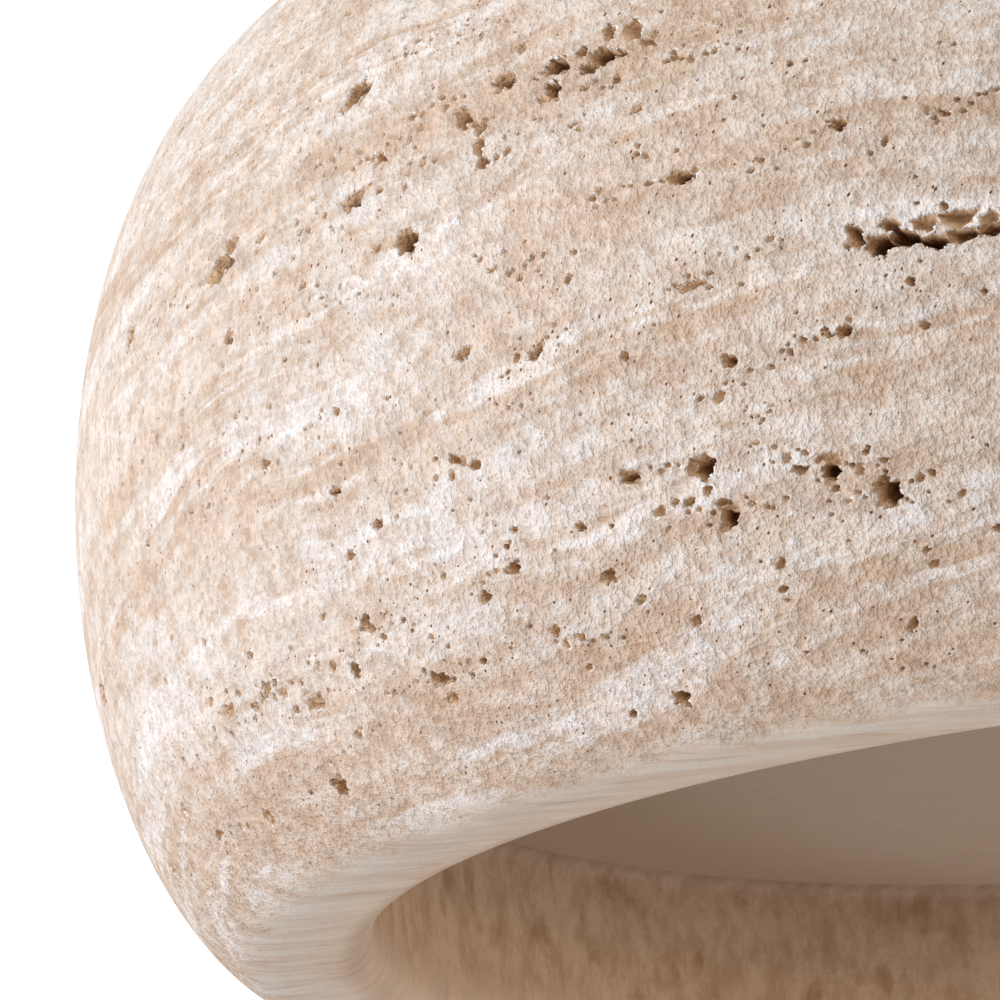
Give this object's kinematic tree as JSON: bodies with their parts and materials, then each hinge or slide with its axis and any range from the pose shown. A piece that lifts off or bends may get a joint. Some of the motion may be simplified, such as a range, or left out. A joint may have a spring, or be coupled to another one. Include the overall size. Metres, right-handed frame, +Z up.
{
  "type": "travertine bowl",
  "caption": "Thick-walled, bulging round stone bowl with a flat rim, a shallow flat-floored hollow and a banded wall full of natural cavities.",
  "frame": {"origin": "centre of the flat base, on the surface that the bowl stands on", "axes": "+Z up through the middle of the opening; -Y is the front, the side that the picture shows"},
  "size_m": [0.3, 0.3, 0.113],
  "materials": {
    "travertine": "honed wall with open pores, smoother rim and hollow floor"
  },
  "bodies": {
    "root": {"bowl": "travertine"}
  },
  "joints": []
}
